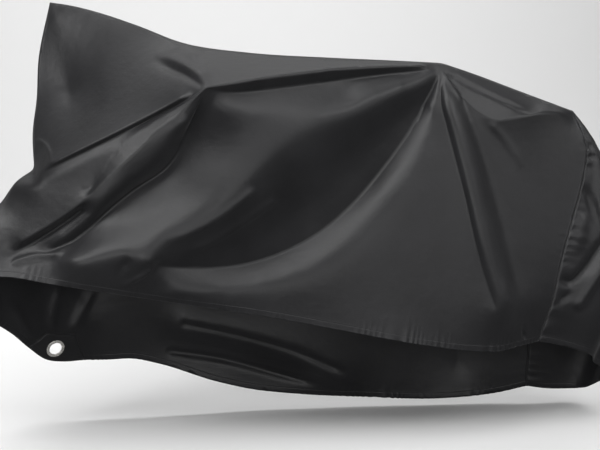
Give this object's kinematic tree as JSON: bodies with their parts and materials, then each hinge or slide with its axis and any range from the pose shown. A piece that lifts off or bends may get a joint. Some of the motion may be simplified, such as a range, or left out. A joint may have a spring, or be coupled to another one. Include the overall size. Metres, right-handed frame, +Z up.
{
  "type": "bicycle cover",
  "caption": "Fitted cloth cover draped over a bicycle, hollow and open below, with a crown seam, a gathered rear panel and a hem eyelet.",
  "frame": {"origin": "the spot on the saddle that carries the cover, just under the cloth, in the bicycle's middle plane", "axes": "+X towards the back wheel, +Y towards the bicycle's right side, +Z up; the bicycle points along -X with its handlebar turned to the left"},
  "size_m": [1.954, 0.521, 1.2303],
  "materials": {
    "cover_cloth": "near-black coated polyester, fine plain weave, satin sheen",
    "patch_cloth": "near-black coated polyester, duller inner side",
    "eyelet_metal": "nickel-plated eyelet, lightly worn"
  },
  "bodies": {
    "root": {"near_side_panel": "cover_cloth", "far_side_panel": "cover_cloth", "rear_panel": "cover_cloth", "eyelet_patch": "patch_cloth", "eyelet_ring": "eyelet_metal"}
  },
  "joints": []
}
